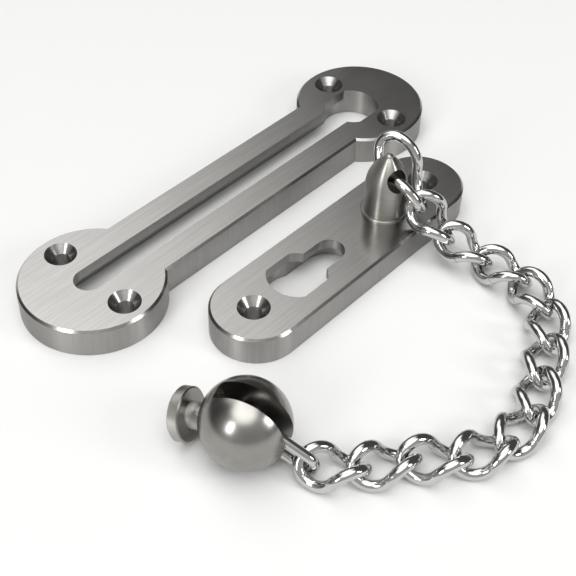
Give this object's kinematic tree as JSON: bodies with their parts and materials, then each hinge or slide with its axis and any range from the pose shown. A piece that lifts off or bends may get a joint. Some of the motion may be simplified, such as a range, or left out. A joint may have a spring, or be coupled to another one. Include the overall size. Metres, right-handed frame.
{
  "type": "door chain guard",
  "caption": "Door chain guard: a slotted track plate, a base plate with a keyhole and an anchor post, and a curb chain ending in a slotted ball with a mushroom button.",
  "frame": {"origin": "middle of the base plate's two screw holes, on the plate's flat back face", "axes": "+X runs along both plates, from the base plate's keyhole end to its post end and from the track's closed end to its entry window; +Y points from the base plate to the track plate beside it; +Z points out of the plates' front faces. Both plates, the chain and the ball lie on z = 0, and seen from the front the chain curves away in -Y."},
  "size_m": [0.1443, 0.1298, 0.028],
  "materials": {
    "plate_steel": "satin nickel plate, softly reflecting",
    "post_steel": "satin nickel plate, turned and smooth",
    "screw_steel": "plain steel",
    "chain_chrome": "polished nickel plate",
    "ball_steel": "satin nickel plate, smooth"
  },
  "bodies": {
    "base": {"base_plate": "plate_steel", "post": "post_steel", "post_screw": "screw_steel"},
    "track": {"track_plate": "plate_steel"},
    "anchor_link": {"anchor_link": "chain_chrome"},
    "chain_link_01": {"chain_link_01": "chain_chrome"},
    "chain_link_02": {"chain_link_02": "chain_chrome"},
    "chain_link_03": {"chain_link_03": "chain_chrome"},
    "chain_link_04": {"chain_link_04": "chain_chrome"},
    "chain_link_05": {"chain_link_05": "chain_chrome"},
    "chain_link_06": {"chain_link_06": "chain_chrome"},
    "chain_link_07": {"chain_link_07": "chain_chrome"},
    "chain_link_08": {"chain_link_08": "chain_chrome"},
    "chain_link_09": {"chain_link_09": "chain_chrome"},
    "chain_link_10": {"chain_link_10": "chain_chrome"},
    "chain_link_11": {"chain_link_11": "chain_chrome"},
    "chain_link_12": {"chain_link_12": "chain_chrome"},
    "swivel_link": {"swivel_link": "chain_chrome"},
    "ball": {"ball": "ball_steel", "ball_pin": "ball_steel", "slider_button": "post_steel"}
  },
  "joints": [
    {"name": "track_slide", "type": "slide", "parent": "base", "child": "track", "axis": [0, 1, 0], "range_m": [0, 0.06]},
    {"name": "anchor_hinge", "type": "hinge", "parent": "base", "child": "anchor_link", "pos_m": [0.0168, 0, 0.0211], "axis": [-0.2588, -0.9659, 0], "range_deg": [-1, 50]},
    {"name": "link_01_hinge", "type": "hinge", "parent": "anchor_link", "child": "chain_link_01", "pos_m": [0.01925, -0.00929, 0.01487], "axis": [0, 0, 1], "range_deg": [-10, 1.5]},
    {"name": "link_02_hinge", "type": "hinge", "parent": "chain_link_01", "child": "chain_link_02", "pos_m": [0.02127, -0.01803, 0.00735], "axis": [0, 0, -1], "range_deg": [-4, 10]},
    {"name": "link_03_hinge", "type": "hinge", "parent": "chain_link_02", "child": "chain_link_03", "pos_m": [0.02359, -0.02896, 0.0039], "axis": [0, 0, 1], "range_deg": [-7, 20]},
    {"name": "link_04_hinge", "type": "hinge", "parent": "chain_link_03", "child": "chain_link_04", "pos_m": [0.02441, -0.04063, 0.0039], "axis": [0, 0, -1], "range_deg": [-50, 4]},
    {"name": "link_05_hinge", "type": "hinge", "parent": "chain_link_04", "child": "chain_link_05", "pos_m": [0.01956, -0.05128, 0.0039], "axis": [0, 0, 1], "range_deg": [-4, 50]},
    {"name": "link_06_hinge", "type": "hinge", "parent": "chain_link_05", "child": "chain_link_06", "pos_m": [0.01021, -0.05832, 0.0039], "axis": [0, 0, -1], "range_deg": [-40, 10]},
    {"name": "link_07_hinge", "type": "hinge", "parent": "chain_link_06", "child": "chain_link_07", "pos_m": [-0.00064, -0.0627, 0.0039], "axis": [0, 0, 1], "range_deg": [-10, 25]},
    {"name": "link_08_hinge", "type": "hinge", "parent": "chain_link_07", "child": "chain_link_08", "pos_m": [-0.01106, -0.06802, 0.0039], "axis": [0, 0, -1], "range_deg": [-50, 6]},
    {"name": "link_09_hinge", "type": "hinge", "parent": "chain_link_08", "child": "chain_link_09", "pos_m": [-0.02276, -0.06822, 0.0039], "axis": [0, 0, 1], "range_deg": [-6, 50]},
    {"name": "link_10_hinge", "type": "hinge", "parent": "chain_link_09", "child": "chain_link_10", "pos_m": [-0.0334, -0.06337, 0.0039], "axis": [0, 0, -1], "range_deg": [-45, 9]},
    {"name": "link_11_hinge", "type": "hinge", "parent": "chain_link_10", "child": "chain_link_11", "pos_m": [-0.04138, -0.05481, 0.0039], "axis": [0, 0, 1], "range_deg": [-16, 16]},
    {"name": "link_12_hinge", "type": "hinge", "parent": "chain_link_11", "child": "chain_link_12", "pos_m": [-0.05114, -0.04835, 0.0039], "axis": [0, 0, -1], "range_deg": [-40, 14]},
    {"name": "swivel_hinge", "type": "hinge", "parent": "chain_link_12", "child": "swivel_link", "pos_m": [-0.05798, -0.03922, 0.00395], "axis": [0, 0, 1], "range_deg": [-14, 15]},
    {"name": "ball_hinge", "type": "hinge", "parent": "swivel_link", "child": "ball", "pos_m": [-0.06281, -0.02595, 0.01102], "axis": [0.9397, 0.342, 0], "range_deg": [-45, 115]}
  ]
}
